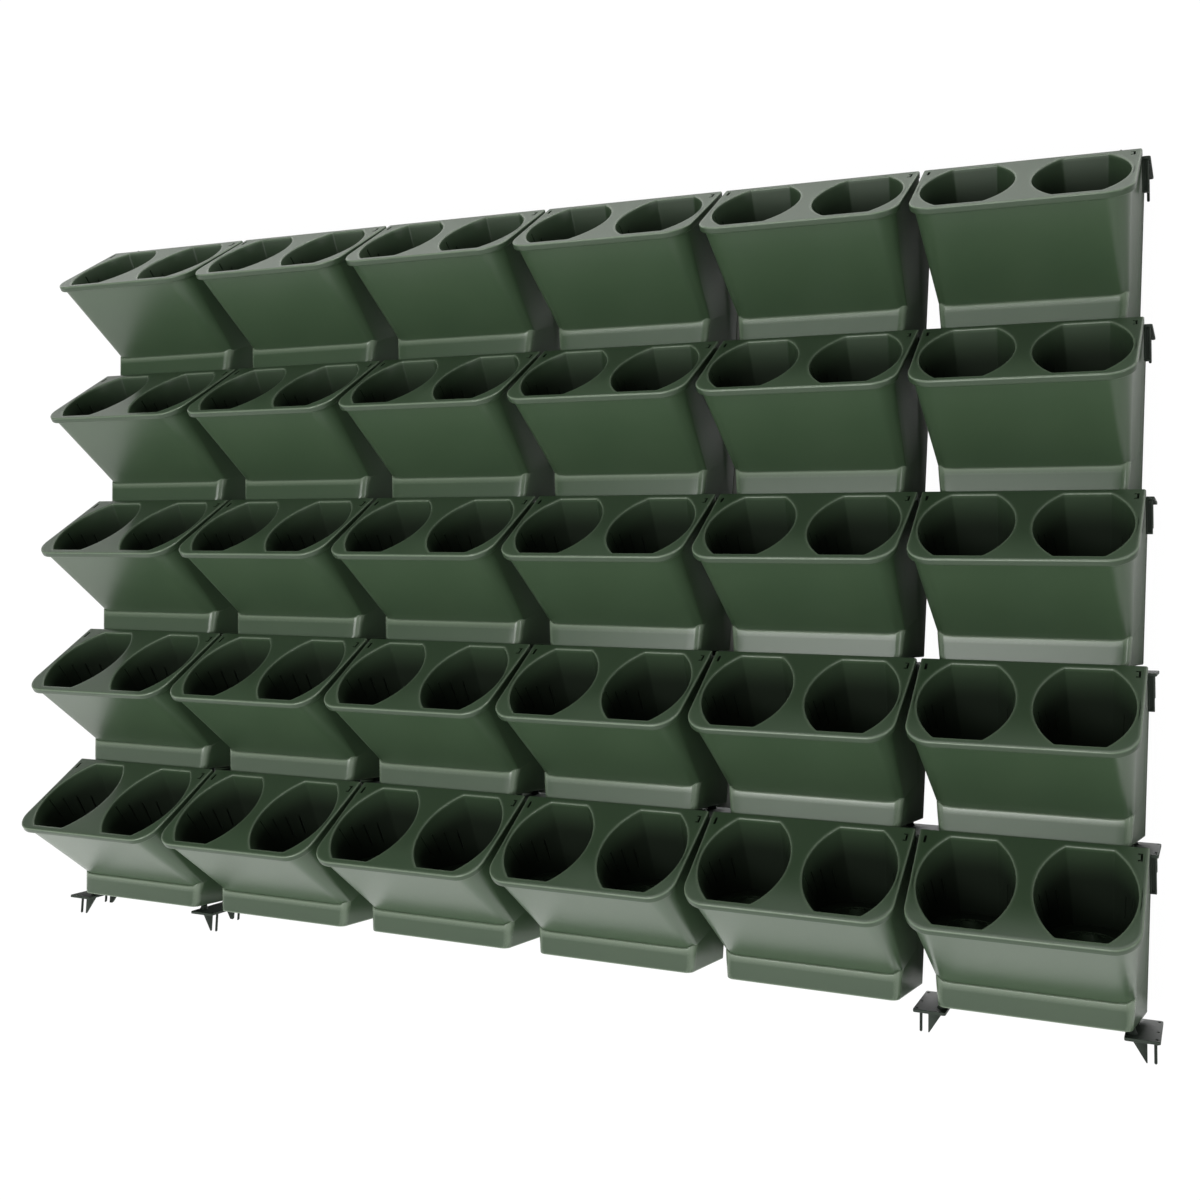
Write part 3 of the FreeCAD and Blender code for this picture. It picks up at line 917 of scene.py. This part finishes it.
@dataclass(frozen=True)
class MouldedPlastic:
    """Moulded polypropylene: a satin skin with fine grain, paler edges from a painted highlight, painted
    shade in wells.
    """

    name: str
    body: str
    shade: str
    # Colour of the painted highlight on rounded edges.
    edge: str
    roughness: float
    # Colour of the painted shade in the wells, slots and on the lip's face.
    deep: str = "#20251f"
    grain_mm: float = 0.9
    mottle_mm: float = 90.0
    gloss: float = 0.5

    def material(self) -> Material:
        """Builds the node material.

        The broad mottle is the uneven cooling of a large moulding. The grain is coarser than the real
        0.2 mm so that it shows, and only roughens the gloss. Painted shade turns the wells dark and dull
        towards the floor, and a painted highlight makes the rounded edges paler.

        Returns:
            The material.
        """
        made = bpy.data.materials.new(self.name)
        tree = blank_tree(made)
        place = add_node(tree, "ShaderNodeTexCoord").outputs["Object"]
        mottle = add_node(tree, "ShaderNodeTexNoise", Vector=place, Scale=1.0 / (self.mottle_mm * MM),
                          Detail=3.0, Roughness=0.5)
        grain = add_node(tree, "ShaderNodeTexNoise", Vector=place, Scale=1.0 / (self.grain_mm * MM),
                         Detail=2.0, Roughness=0.55).outputs["Fac"]
        # finish carries the painted light: up to 1 a painted highlight on edges, down to -1 painted shade.
        finish = add_node(tree, "ShaderNodeAttribute", {"attribute_name": "finish"}).outputs["Fac"]
        painted_highlight = ranged(tree, finish, (0.0, 1.0), (0.0, 0.7))
        # depth is the share of painted shade, which also dulls the gloss.
        depth = ranged(tree, finish, (0.0, -1.0), (0.0, 0.9))
        colour = mixed(tree, mottle.outputs["Fac"], linear(self.shade), linear(self.body))
        with_painted_highlight = mixed(tree, painted_highlight, colour, linear(self.edge))
        rough = ranged(tree, grain, (0.25, 0.75), (self.roughness - 0.04, self.roughness + 0.05))
        bump = add_node(tree, "ShaderNodeBump", Height=grain, Strength=0.05, Distance=0.0004)
        skin = add_node(tree, "ShaderNodeBsdfPrincipled", IOR=1.49, Normal=bump,
                        Base_Color=mixed(tree, depth, with_painted_highlight, linear(self.deep)),
                        Roughness=maths(tree, "MULTIPLY_ADD", painted_highlight, -0.16, rough),
                        Specular_IOR_Level=ranged(tree, depth, (0.0, 1.0), (self.gloss, 0.05)))
        add_node(tree, "ShaderNodeOutputMaterial", Surface=skin)
        return made


# Axis, and where along it the painted shade behind the planters ends and white paper starts, in metres.
PAINTED_SHADE_ENDS = (("X", 0.40, 0.44), ("X", -0.84, -0.88), ("Z", 0.10, 0.07), ("Z", 1.10, 1.14))


@dataclass(frozen=True)
class StudioWhite:
    """Seamless white paper under even light, and plain white where the camera looks at it."""

    name: str
    shadow: float
    floor_light: float
    wall_light: float
    head_light: float

    def material(self) -> Material:
        """Builds the node material.

        The floor, the paper beside the planters and the paper over their heads are lit to three levels,
        by place in metres, and the floor dims to the right. The paper right behind the planters gets painted
        shade: it neither glows nor shows white to the camera, and its colour is painted a darker grey. Seen
        from its back the paper is clear, and it casts no shadow.

        Returns:
            The material, which keeps a share of the shadow that falls on it.
        """
        made = bpy.data.materials.new(self.name)
        tree = blank_tree(made)
        ray = add_node(tree, "ShaderNodeLightPath").outputs
        place = add_node(tree, "ShaderNodeTexCoord").outputs["Object"]
        parts = add_node(tree, "ShaderNodeSeparateXYZ", Vector=place).outputs
        # Only outside the painted shade behind the planters does the camera see plain white.
        clear = 0.0
        for axis, shaded, lit in PAINTED_SHADE_ENDS:
            past = ranged(tree, parts[axis], (shaded, lit), (0.0, 1.0 - self.shadow))
            clear = maths(tree, "MAXIMUM", clear, past)
        aside = maths(tree, "ABSOLUTE", parts["X"])
        beside = ranged(tree, aside, (0.88, 0.94), (0.0, self.wall_light))
        ground = ranged(tree, parts["X"], (0.85, 1.25), (self.floor_light, 0.35 * self.floor_light))
        low = ranged(tree, parts["Z"], (0.0, 0.06), (ground, beside))
        high = ranged(tree, parts["Z"], (1.2, 1.4), (0.0, self.head_light))
        level = maths(tree, "MAXIMUM", low, high)
        # Painted shade: where the paper is not lit, its colour turns a darker grey.
        paper_with_painted_shade = mixed(tree, ranged(tree, level, (0.0, 0.2), (0.0, 1.0)), linear("#6c6c6a"), linear("#c8c8c6"))
        paper = add_node(tree, "ShaderNodeBsdfDiffuse", Color=paper_with_painted_shade)
        lamp = add_node(tree, "ShaderNodeEmission", Color=WHITE, Strength=level)
        both = add_node(tree, "ShaderNodeAddShader", _0=paper, _1=lamp)
        glow = add_node(tree, "ShaderNodeEmission", Color=WHITE, Strength=1.03)
        seen = maths(tree, "MULTIPLY", ray["Is Camera Ray"], clear)
        front = add_node(tree, "ShaderNodeMixShader", Fac=seen, _1=both, _2=glow)
        behind = add_node(tree, "ShaderNodeNewGeometry").outputs["Backfacing"]
        through = maths(tree, "MAXIMUM", behind, ray["Is Shadow Ray"])
        sheet = add_node(tree, "ShaderNodeMixShader", Fac=through, _1=front,
                         _2=add_node(tree, "ShaderNodeBsdfTransparent"))
        add_node(tree, "ShaderNodeOutputMaterial", Surface=sheet)
        return made


# The fourth colour of each plastic is its painted highlight for rounded edges.
PLANTER_GREEN = MouldedPlastic("polypropylene_dark_green", "#3d4f39", "#374a35", "#7c8a77", 0.31)
CLIP_GREEN = MouldedPlastic("polypropylene_black_green", "#272e28", "#222923", "#3c453d", 0.58, gloss=0.16)


def linked(name: str, data: ID) -> Object:
    """Makes an object of a mesh, lamp or camera and puts it in the scene."""
    made = bpy.data.objects.new(name, data)
    bpy.context.collection.objects.link(made)
    return made


def shown(node: str, mesh: Mesh, finish: Material, body: str) -> None:
    """Puts a mesh in the scene as a piece that rides on a body and stands for a node of the frame.

    Args:
        node: Node it stands for.
        mesh: Its mesh, already in place.
        finish: Its material.
        body: Body it rides on.
    """
    piece = linked(f"moulded_{node}", mesh)
    mesh.materials.clear()
    mesh.materials.append(finish)
    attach(piece, body)
    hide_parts(node)
    LOG.info("%s: %d faces on %s", piece.name, len(mesh.polygons), body)


def joined(name: str, meshes: list[Mesh]) -> Mesh:
    """Gathers several meshes into one, keeping their sharp edges and painted light.

    Args:
        name: Name of the new mesh.
        meshes: Meshes to gather.

    Returns:
        The gathered mesh.
    """
    work = bmesh.new()
    for mesh in meshes:
        work.from_mesh(mesh)
    made = bpy.data.meshes.new(name)
    work.to_mesh(made)
    work.free()
    return made


@dataclass
class PlanterWall:
    """The whole wall: five rows of six modules, their clips, and the feet."""

    green: Material
    dark: Material

    @staticmethod
    def level(row: int) -> float:
        """Height of a row's base, counted from the top row."""
        return BASE_Z + ROW_PITCH * (ROWS - row)

    def modules(self) -> None:
        """Places a moulding for each module of each row."""
        moulding = PlanterModule().mesh()
        for row in range(1, ROWS + 1):
            for column in range(1, COLUMNS + 1):
                node = f"planter_r{row}_c{column}"
                mesh = placed(moulding, node, column - (COLUMNS + 1) / 2, self.level(row))
                shown(node, mesh, self.green, f"row_{row}")

    def clips(self) -> None:
        """Places the clips of each row: two ends, and the seams where a row stands on them."""
        clip = Clip()
        ends = [(clip.end_mesh(Side.LEFT), -COLUMNS / 2), (clip.end_mesh(Side.RIGHT), COLUMNS / 2)]
        seam = clip.seam_mesh()
        seams = [(seam, number - COLUMNS / 2) for number in range(1, COLUMNS)]
        for row in range(1, ROWS + 1):
            up = self.level(row) + PlanterModule.deck_height
            node = f"clips_r{row}"
            meshes = [placed(mesh, "clip", at, up) for mesh, at in (ends if row == 1 else ends + seams)]
            shown(node, joined(node, meshes), self.dark, f"row_{row}")

    def feet(self) -> None:
        """Places the four feet under the end columns."""
        foot = Foot()
        for column in (1, COLUMNS):
            for side in Side:
                node = f"foot_c{column}_{side.name.lower()}"
                edge = column - 1 if side is Side.LEFT else column
                mesh = placed(foot.foot_mesh(side), node, edge - COLUMNS / 2, foot.length)
                shown(node, mesh, self.dark, f"row_{ROWS}")


@dataclass(frozen=True)
class SoftBox:
    """A soft lamp: its middle, the point that it faces, its width and height in metres, and its watts."""

    name: str
    place: Spot
    aim: Spot
    size: Pair
    power: float

    def hang(self) -> None:
        """Adds the lamp to the scene."""
        data = bpy.data.lights.new(self.name, "AREA")
        data.shape = "RECTANGLE"
        data.size, data.size_y = self.size
        data.energy = self.power
        turn = (Vector(self.aim) - Vector(self.place)).to_track_quat("-Z", "Y")
        box = linked(self.name, data)
        box.matrix_world = Matrix.Translation(self.place) @ turn.to_matrix().to_4x4()


SOFT_BOXES = (
    SoftBox("front_box", (-0.25, -3.6, 0.46), (0.0, 0.0, 0.5), (2.1, 0.86), 48.0),
    SoftBox("line_box", (-0.2, -3.2, 1.95), (0.1, 0.0, 0.6), (3.2, 0.14), 20.0),
    SoftBox("top_box", (0.2, -0.5, 3.2), (0.1, -0.05, 0.6), (3.4, 0.6), 30.0),
    SoftBox("edge_box", (3.2, -1.2, 0.5), (0.8, 0.0, 0.5), (0.4, 1.0), 9.0),
    SoftBox("back_box", (0.0, 3.2, 1.3), (0.0, 0.1, 0.6), (2.4, 1.2), 120.0),
)


@dataclass
class Studio:
    """White sweep, soft lamps and the camera at the photograph's place."""

    lens: float = 38.407
    shift: Pair = (-0.1, -0.1)
    eye: Spot = (0.97852, -1.72395, 0.57057)
    tilt: tuple[float, ...] = (0.094533, -0.020691, 0.369490)

    def camera(self) -> None:
        """Sets up the camera: a level turn, then a tilt, then a small roll."""
        data = bpy.data.cameras.new("camera")
        data.sensor_width = 36.0
        data.lens = self.lens
        data.shift_x, data.shift_y = self.shift
        pitch, roll, turn = self.tilt
        aim = Matrix.Rotation(turn, 4, "Z") @ Matrix.Rotation(pitch, 4, "X") @ Matrix.Rotation(roll, 4, "Y")
        eye = linked("camera", data)
        eye.matrix_world = Matrix.Translation(self.eye) @ aim @ Matrix.Rotation(math.pi / 2, 4, "X")
        bpy.context.scene.camera = eye

    @staticmethod
    def sweep() -> None:
        """Hangs the paper: flat floor, a quarter turn behind the wall plane, then straight up."""
        turn = quarter_turn(12)
        radius = 0.05
        behind = WALL_Y * MM + 0.004
        profile = np.concatenate([
            [(-9.0, 0.0), (-3.0, 0.0), (-1.0, 0.0)],
            np.stack([behind - radius + radius * np.sin(turn), radius - radius * np.cos(turn)], axis=1),
            [(behind, 1.0), (behind, 4.0)]])
        places = np.array([[(x, y, z) for x in np.linspace(-8.0, 8.0, 9)] for y, z in profile])
        paper = Shell()
        paper.grid(places / MM)
        mesh = paper.mesh("paper_sweep")
        if mesh.polygons[0].normal.z < 0:
            mesh.flip_normals()
        mesh.materials.append(StudioWhite("seamless_paper", 0.04, 1.0, 0.23, 0.45).material())
        sweep = linked("paper_sweep", mesh)

    @staticmethod
    def light() -> None:
        """Sets up an even white world and hangs the soft boxes."""
        world = bpy.data.worlds.new("studio")
        tree = blank_tree(world)
        dim, plain = (add_node(tree, "ShaderNodeBackground", Color=WHITE, Strength=strength)
                      for strength in (0.07, 1.0))
        seen = add_node(tree, "ShaderNodeLightPath").outputs["Is Camera Ray"]
        mix = add_node(tree, "ShaderNodeMixShader", Fac=seen, _1=dim, _2=plain)
        add_node(tree, "ShaderNodeOutputWorld", Surface=mix)
        bpy.context.scene.world = world
        for box in SOFT_BOXES:
            box.hang()


def main() -> None:
    """Builds the wall and the studio."""
    logging.basicConfig(level=logging.INFO, format="%(name)s: %(message)s")
    bpy.context.scene.view_settings.view_transform = "Standard"
    wall = PlanterWall(PLANTER_GREEN.material(), CLIP_GREEN.material())
    wall.modules()
    wall.clips()
    wall.feet()
    studio = Studio()
    studio.camera()
    studio.sweep()
    studio.light()


if __name__ == "__main__":
    main()
